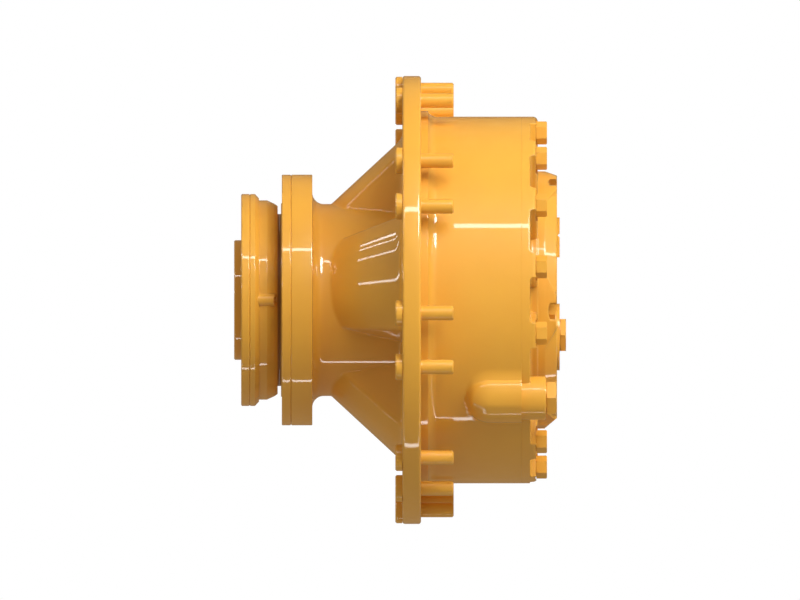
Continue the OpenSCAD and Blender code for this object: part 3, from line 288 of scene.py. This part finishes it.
def glossPaint(name, edge, castDepth, jointAt=0):
    mat, tree, bsdf = newFinish(name)
    link = tree.links.new
    where = tree.nodes.new("ShaderNodeTexCoord").outputs["Object"]
    cloud = spread(tree, grain(tree, where, paint["cloudGrain"]), 0, 1)
    colour = blendColour(tree, cloud, paint["colour"], paint["deeper"])
    normal = None
    if edge:
        # paint pulls thin over the edges, in patches
        normal = roundedEdge(tree, edge, where, jointAt)
        plain = tree.nodes.new("ShaderNodeNewGeometry").outputs["Normal"]
        bend = tree.nodes.new("ShaderNodeVectorMath")
        bend.operation = "DOT_PRODUCT"
        link(normal, bend.inputs[0])
        link(plain, bend.inputs[1])
        onEdge = spread(tree, bend.outputs["Value"], paint["thinShare"], 0, *paint["edgeBend"])
        patches = spread(tree, grain(tree, where, paint["patchGrain"]), 0, 1, *paint["patchRange"])
        thin = tree.nodes.new("ShaderNodeMath")
        thin.operation = "MULTIPLY"
        link(onEdge, thin.inputs[0])
        link(patches, thin.inputs[1])
        colour = blendColour(tree, thin.outputs["Value"], colour, paint["thin"])
        link(normal, bsdf.inputs["Coat Normal"])
    rough = spread(tree, grain(tree, where, paint["roughGrain"]),
                   paint["roughLow"], paint["roughHigh"])
    cast = bumped(tree, grain(tree, where, paint["castGrain"], detail=2), castDepth, normal)
    link(colour, bsdf.inputs["Base Color"])
    link(rough, bsdf.inputs["Roughness"])
    link(cast, bsdf.inputs["Normal"])
    bsdf.inputs["Specular IOR Level"].default_value = paint["underCoatShine"]
    bsdf.inputs["Coat Weight"].default_value = paint["coat"]
    bsdf.inputs["Coat Roughness"].default_value = paint["coatRoughness"]
    return mat


def machinedMetal(name, colour, worn, metal, roughLow, roughHigh, marks, depth,
                  wornGrain=22, oversprayed=0, sprayFade=0.0005):
    # fine turning marks that follow the distance along and from the turning axis
    mat, tree, bsdf = newFinish(name)
    link = tree.links.new
    where = tree.nodes.new("ShaderNodeTexCoord").outputs["Object"]
    flat = tree.nodes.new("ShaderNodeVectorMath")
    flat.operation = "MULTIPLY"
    flat.inputs[1].default_value = (0, 1, 1)       # leaves out the way along the axis
    link(where, flat.inputs[0])
    reach = tree.nodes.new("ShaderNodeVectorMath")
    reach.operation = "LENGTH"
    link(flat.outputs["Vector"], reach.inputs[0])
    split = tree.nodes.new("ShaderNodeSeparateXYZ")
    link(where, split.inputs["Vector"])
    turned = tree.nodes.new("ShaderNodeCombineXYZ")
    link(split.outputs["X"], turned.inputs["X"])
    link(reach.outputs["Value"], turned.inputs["Y"])
    lathe = grain(tree, turned.outputs["Vector"], marks, detail=2)
    wear = spread(tree, grain(tree, where, wornGrain), 0, 1)
    tint = blendColour(tree, wear, colour, worn)
    bsdf.inputs["Metallic"].default_value = metal
    if oversprayed:
        bare = spread(tree, reach.outputs["Value"], 1, 0, oversprayed, oversprayed + sprayFade)
        tint = blendColour(tree, bare, paint["deeper"], tint)
        link(bare, bsdf.inputs["Metallic"])
    link(tint, bsdf.inputs["Base Color"])
    link(spread(tree, lathe, roughLow, roughHigh), bsdf.inputs["Roughness"])
    link(bumped(tree, lathe, depth), bsdf.inputs["Normal"])
    return mat


# The hub casting, in millimetres and degrees: X runs along the axis from the wheel flange's
# outer face, R is a radius, L a length. Its mesh is turned from rows of points, from the inner
# end over the outside to the joint with the cover and back through the inside.
hub = {
    "column": 0.75, "fineColumn": 0.25, "fineReach": 13,    # mesh columns, finer round the boss
    "sharpFrom": 32,
    # inner flange and neck
    "innerEnd": -195, "innerFaceR": 150, "innerFlangeX": -163, "innerFlangeR": 188,
    "sealEdge": 1.2, "sealEdgeRound": 0.8, "innerFlangeRound": 1.6,
    "neckR": 144, "neckFillet": 17, "neckFilletTo": 262, "neckFilletSpare": 6, "neckStart": 1,
    # lobes
    "lobes": 4, "lobeAngle": 11.45, "lobeR": 244, "lobeSlope": 42.9, "lobeSink": 2,
    "lobeNeckHalf": 65, "lobeFlangeHalf": 88, "lobeStations": 48,
    "crestR": 75, "crestTilt": 24, "crestOver": 60, "crestProud": 1,
    "lobeFoot": 1.6, "lobeEdge": 5, "crestEdge": 6,         # softness of the corners
    # wheel flange and step
    "flangeBack": -28, "flangeR": 336, "rimRound": 4, "flangeFillet": 9, "flangeFilletRise": 1.2,
    "flangeFilletSteps": 6, "flangeBackRings": (0.2, 0.4, 0.6, 0.8), "flangeFaceR": 310,
    "stepR": 283.5, "stepL": 10.5, "stepFlat": 4, "stepRound": 0.8, "stepLean": 0.3,
    "stepFillet": 15.5, "stepFilletDrop": 0.6, "stepFilletGap": 0.5,
    # drum and drain boss
    "drumR": 275, "drumStart": 30, "drumStations": 4, "drumSpare": 3, "drumEnd": 151,
    "jointEdge": 0.3, "jointMargin": 1.6,
    "bossAngle": -33.75, "bossAt": 264.5, "bossR": 37.5, "bossL": 47, "bossRunIn": 14,
    "bossFoot": 14, "bossUpperFoot": 44, "footTurn": 5,     # softness below and above the boss
    "bossFall": 1.6, "bossTail": 10, "bossStations": 40,
    # inside
    "jointFaceR": 255, "gearBoreR": 238, "gearBoreEnd": 14, "gearBoreRound": 10,
    "bearingBore": ((14, 115), (-37, 115), (-37, 107), (-43, 107), (-99, 113), (-107, 117),
                    (-112, 117), (-112, 125), (-191.5, 125), (-191.5, 127.5), (-193, 127.5),
                    (-195, 128.2)),
}


def softMin(a, b, soft):
    h = np.maximum(soft - np.abs(a - b), 0) / soft
    return np.minimum(a, b) - h * h * soft / 4


def softMax(a, b, soft):
    return -softMin(-a, -b, soft)


def turnBack(angle):
    return (angle + 180) % 360 - 180


def arcPoints(x, r, radius, start, end, steps):
    angles = np.radians(np.linspace(start, end, steps + 1))
    return [(x + radius * math.cos(a), r + radius * math.sin(a)) for a in angles]


def roundedPath(points, steps=3):
    # points are (x, r) or (x, r, rounding); each rounded corner becomes a short curve
    path = []
    for i, point in enumerate(points):
        here = np.array(point[:2], float)
        radius = point[2] if len(point) > 2 else 0
        if not radius:
            path.append(tuple(here))
            continue
        before = np.array(points[i - 1][:2], float) - here
        after = np.array(points[(i + 1) % len(points)][:2], float) - here
        a, b = np.linalg.norm(before), np.linalg.norm(after)
        cut = min(radius, 0.45 * a, 0.45 * b)      # short of the middle of either side
        first, last = here + before / a * cut, here + after / b * cut
        for t in np.linspace(0, 1, steps + 1):
            path.append(tuple((1 - t) ** 2 * first + 2 * t * (1 - t) * here + t * t * last))
    return path


def turnedMesh(name, rows, angles):
    # rows are (x, r) in millimetres, r a number or one value for every angle; angle 0 is at -Y,
    # and the last row closes onto the first
    count = len(angles)
    y, z = -np.cos(np.radians(angles)), np.sin(np.radians(angles))
    points = []
    for x, r in rows:
        x = np.broadcast_to(np.asarray(x, float), (count,))
        r = np.broadcast_to(np.asarray(r, float), (count,))
        points.append(np.stack([x, r * y, r * z], axis=1))
    points = np.concatenate(points) / 1000
    columns = np.arange(count)
    onward = (columns + 1) % count
    faces = []
    for i in range(len(rows)):
        a, b = i * count, (i + 1) % len(rows) * count
        faces.append(np.stack([a + columns, a + onward, b + onward, b + columns], axis=1))
    faces = np.concatenate(faces)
    mesh = bpy.data.meshes.new(name)
    mesh.vertices.add(len(points))
    mesh.vertices.foreach_set("co", points.ravel())
    mesh.loops.add(faces.size)
    mesh.loops.foreach_set("vertex_index", faces.ravel())
    mesh.polygons.add(len(faces))
    mesh.polygons.foreach_set("loop_start", np.arange(len(faces)) * 4)
    mesh.polygons.foreach_set("loop_total", np.full(len(faces), 4))
    mesh.update(calc_edges=True)
    mesh.validate()
    return mesh


def makePiece(name, mesh, body, material, sharp):
    work = bmesh.new()
    work.from_mesh(mesh)
    bmesh.ops.recalc_face_normals(work, faces=work.faces)
    work.to_mesh(mesh)
    work.free()
    mesh.shade_smooth()
    mesh.set_sharp_from_angle(angle=math.radians(sharp))
    mesh.materials.append(material)
    piece = bpy.data.objects.new(name, mesh)
    scene.collection.objects.link(piece)
    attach(piece, body)
    return piece


def crestRadius(x, angle, start):
    # where a ray from the axis leaves the cone that rounds off the lobe's crest
    tilt, lean = math.radians(hub["crestTilt"]), math.radians(-hub["lobeSlope"])
    local = Vector((-hub["crestOver"], hub["crestR"] * math.cos(tilt) - hub["crestProud"], 0))
    foot = Vector((start, -hub["neckR"], 0)) + Matrix.Rotation(lean, 3, "Z") @ local
    axis = Matrix.Rotation(lean + tilt, 3, "Z") @ Vector((1, 0, 0))
    k = math.tan(tilt)
    b = np.stack([np.zeros_like(angle), -np.cos(angle), np.sin(angle)])
    a = np.array([x - foot.x, -foot.y, 0.0])
    along0 = a @ np.array(axis)
    along1 = b[0] * axis.x + b[1] * axis.y + b[2] * axis.z
    grown = hub["crestR"] + k * along0
    # p r^2 + q r + c = 0
    p = 1 - along1 ** 2 * (1 + k * k)
    q = 2 * (a @ b - along0 * along1 - k * along1 * grown)
    c = a @ a - along0 ** 2 - grown ** 2
    return (-q + np.sqrt(np.maximum(q * q - 4 * p * c, 0))) / (2 * p)


def lobedRadius(x, angles):
    # the neck's radius at x, raised by the lobes, which start and end a little out of sight
    slope = math.tan(math.radians(hub["lobeSlope"]))
    start = hub["flangeBack"] - (hub["lobeR"] - hub["neckR"] + hub["lobeSink"]) / slope
    length = hub["flangeBack"] + hub["lobeSink"] - start
    cone = hub["neckR"] - hub["lobeSink"] + (x - start) * slope
    share = (x - start) / length
    half = hub["lobeNeckHalf"] + share * (hub["lobeFlangeHalf"] - hub["lobeNeckHalf"])
    step = 360 / hub["lobes"]
    turned = (angles - hub["lobeAngle"] + step / 2) % step - step / 2
    offset = np.radians(turned)
    side = half / np.maximum(np.abs(np.sin(offset)), 1e-3)      # never divided by zero
    crest = crestRadius(x, offset, start)
    top = softMin(np.full_like(offset, cone), crest, hub["crestEdge"])
    lobe = softMin(top, side, hub["lobeEdge"])
    return softMax(np.full_like(offset, hub["neckR"]), lobe, hub["lobeFoot"])


def bossedRadius(x, angles):
    # the drum's radius, raised by the drain boss with its round inner end; the casting runs
    # softly into the boss, most of all from above
    offset = np.radians(turnBack(angles - hub["bossAngle"]))
    beyond = max(hub["drumEnd"] - hub["bossL"] - x, 0)
    reach = math.sqrt(max(hub["bossR"] ** 2 - beyond ** 2, 0))
    across = np.abs(hub["bossAt"] * np.sin(offset))
    boss = hub["bossAt"] * np.cos(offset) + np.sqrt(np.maximum(reach ** 2 - across ** 2, 0))
    tail = max(beyond - hub["bossR"] + hub["bossTail"], 0)
    boss -= hub["bossFall"] * (np.maximum(across - reach, 0) + tail)
    above = np.clip(np.degrees(offset) / hub["footTurn"] + 0.5, 0, 1)
    above = above * above * (3 - 2 * above)
    soft = hub["bossFoot"] + (hub["bossUpperFoot"] - hub["bossFoot"]) * above
    return softMax(np.full_like(offset, hub["drumR"]), boss, soft)


def hubColumns():
    # the angles of the mesh's columns
    coarse = np.arange(0, 360, hub["column"])
    gap = np.abs(turnBack(coarse - hub["bossAngle"]))
    kept = coarse[gap > hub["fineReach"] + hub["column"] / 2]
    fine = hub["bossAngle"] + np.arange(-hub["fineReach"], hub["fineReach"], hub["fineColumn"])
    return np.sort(np.concatenate([kept, fine % 360]))


def innerFlangeRows():
    endX, flangeX, flangeR = hub["innerEnd"], hub["innerFlangeX"], hub["innerFlangeR"]
    edge, fillet = hub["sealEdge"], hub["neckFillet"]
    filletR = hub["neckR"] + fillet
    rows = roundedPath([(endX, hub["innerFaceR"]),
                        (endX, flangeR - edge, hub["sealEdgeRound"]),
                        (endX + edge, flangeR, hub["sealEdgeRound"]),
                        (flangeX, flangeR, hub["innerFlangeRound"]),
                        (flangeX, filletR + hub["neckFilletSpare"])])
    return rows + arcPoints(flangeX + fillet, filletR, fillet, 180, hub["neckFilletTo"], steps=9)


def lobeRows(angles):
    back, lift = hub["flangeBack"], hub["flangeFillet"]
    start = hub["innerFlangeX"] + hub["neckFillet"] + hub["neckStart"]
    stations = np.linspace(start, back - lift, hub["lobeStations"])
    neck = [lobedRadius(x, angles) for x in stations]
    rows = list(zip(stations, neck))
    # the fillet from neck and lobes up the back of the wheel flange
    rise = (neck[-1] - neck[-2]) / (stations[-1] - stations[-2])
    corner = neck[-1] + np.minimum(rise, hub["flangeFilletRise"]) * lift
    top = corner + lift
    for t in np.linspace(0, 1, hub["flangeFilletSteps"] + 1)[1:]:
        x = (1 - t) ** 2 * (back - lift) + (2 * t * (1 - t) + t * t) * back
        rows.append((x, (1 - t) ** 2 * neck[-1] + 2 * t * (1 - t) * corner + t * t * top))
    outer = hub["flangeR"] - hub["rimRound"]
    return rows + [(back, top + (outer - top) * t) for t in hub["flangeBackRings"]]


def wheelFlangeRows():
    rim, fillet = hub["rimRound"], hub["stepFillet"]
    stepL, stepR, drumR = hub["stepL"], hub["stepR"], hub["drumR"]
    outer = hub["flangeR"] - rim
    rows = arcPoints(hub["flangeBack"] + rim, outer, rim, 180, 90, steps=5)
    rows += arcPoints(-rim, outer, rim, 90, 0, steps=5)
    rows += [(0, hub["flangeFaceR"]), (0, stepR)]
    rows += roundedPath([(stepL - hub["stepFlat"], stepR), (stepL, stepR, hub["stepRound"]),
                         (stepL + hub["stepLean"], stepR - hub["stepRound"])])
    # the fillet from just below the step's edge down to the drum
    turn = math.degrees(math.acos(1 - (stepR - drumR - hub["stepFilletDrop"]) / fillet))
    filletX = stepL + hub["stepFilletGap"] + fillet * math.sin(math.radians(turn))
    return rows + arcPoints(filletX, drumR + fillet, fillet, 270 - turn, 270, steps=8)


def drumRows(angles):
    end, edge = hub["drumEnd"], hub["jointEdge"]
    bossStart = end - hub["bossL"] - hub["bossR"] - hub["bossRunIn"]
    plain = np.linspace(hub["drumStart"], bossStart - hub["drumSpare"], hub["drumStations"])
    bossed = np.linspace(bossStart, end - hub["jointMargin"], hub["bossStations"])
    rows = [(x, bossedRadius(x, angles)) for x in np.concatenate([plain, bossed])]
    outline = bossedRadius(end, angles)
    return rows + [(end - edge, outline), (end, outline - edge)]


def insideRows():
    boreR, boreEnd, fillet = hub["gearBoreR"], hub["gearBoreEnd"], hub["gearBoreRound"]
    rows = [(hub["drumEnd"], hub["jointFaceR"]), (hub["drumEnd"], boreR)]
    rows += arcPoints(boreEnd + fillet, boreR - fillet, fillet, 90, 180, steps=5)
    return rows + list(hub["bearingBore"])


def makeHub(material):
    angles = hubColumns()
    rows = innerFlangeRows() + lobeRows(angles) + wheelFlangeRows()
    rows += drumRows(angles) + insideRows()
    mesh = turnedMesh("hub_casting", rows, angles)
    piece = makePiece("hub_casting", mesh, "hub", material, hub["sharpFrom"])
    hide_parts("wheel_hub")


# each node's finish comes from its slot, but the plugs' washers are painted over with the plugs,
# and the cover has rounder edges than the other castings
paintedOver = ("fill_plug_washer", "drain_plug_washer")
finishes = {name: machinedMetal(name + "Finish", **values) for name, values in metals.items()}
finishes["yellow_casting"] = glossPaint("castingPaint", paint["edgeOnCasting"], paint["castDepth"])
finishes["yellow_hardware"] = glossPaint("hardwarePaint", paint["edgeOnHardware"],
                                         paint["hardwareDepth"])
finishes["cover"] = glossPaint("coverPaint", paint["edgeOnCover"], paint["castDepth"],
                               paint["coverJoint"])
for part in frame["record"]["subparts"]:
    finish = "yellow_hardware" if part["node"] in paintedOver else part["material_slot"]
    if part["node"] == "carrier_cover":
        finish = "cover"
    node = nodes[part["node"]]
    for place in range(len(node.material_slots)):
        node.material_slots[place].material = finishes[finish]
print("finishes made")

makeHub(glossPaint("hubPaint", 0, paint["castDepth"]))     # its fillets are in the mesh
print("hub made")
